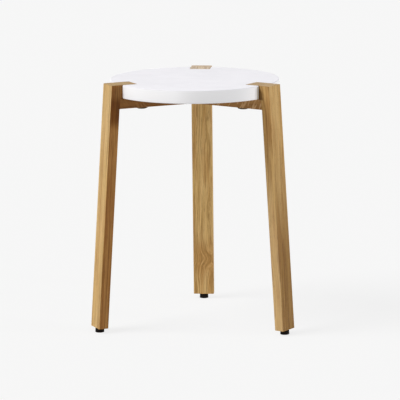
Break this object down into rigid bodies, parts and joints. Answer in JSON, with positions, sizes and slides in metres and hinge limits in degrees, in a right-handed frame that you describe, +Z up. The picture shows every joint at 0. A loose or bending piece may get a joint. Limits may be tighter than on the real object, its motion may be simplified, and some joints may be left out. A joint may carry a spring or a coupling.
{
  "type": "stool",
  "caption": "Backless stacking stool: a round white seat with notches in its rim for the flush heads of splayed flat oak legs, joined by rails that meet under the seat.",
  "frame": {"origin": "on the stool's upright axis at floor level, in the plane of the glides' undersides", "axes": "+Z up along the stool's axis of threefold symmetry; +Y towards the rear leg; -Y is the front, with +X to the right as seen from the front"},
  "size_m": [0.3684, 0.3554, 0.45],
  "materials": {
    "white_lacquer": "smooth white satin lacquer over board",
    "oak": "clear matt lacquer over oak",
    "beech": "plain planed beech",
    "zinc_steel": "bright zinc plating",
    "pad_rubber": "matt dark brown rubber",
    "black_plastic": "fine satin moulded plastic"
  },
  "bodies": {
    "root": {"seat": "white_lacquer", "leg_rear": "oak", "head_rear": "oak", "rail_rear": "oak", "rail_tenon_rear": "beech", "head_tenon_rear": "beech", "insert_rear": "zinc_steel", "seat_bolt_rear": "zinc_steel", "glide_screw_rear": "zinc_steel", "pad_rear": "pad_rubber", "glide_rear": "black_plastic", "leg_left": "oak", "head_left": "oak", "rail_left": "oak", "rail_tenon_left": "beech", "head_tenon_left": "beech", "insert_left": "zinc_steel", "seat_bolt_left": "zinc_steel", "glide_screw_left": "zinc_steel", "pad_left": "pad_rubber", "glide_left": "black_plastic", "leg_right": "oak", "head_right": "oak", "rail_right": "oak", "rail_tenon_right": "beech", "head_tenon_right": "beech", "insert_right": "zinc_steel", "seat_bolt_right": "zinc_steel", "glide_screw_right": "zinc_steel", "pad_right": "pad_rubber", "glide_right": "black_plastic", "mitre_tongue_left": "beech", "mitre_tongue_right": "beech", "mitre_tongue_front": "beech"}
  },
  "joints": []
}
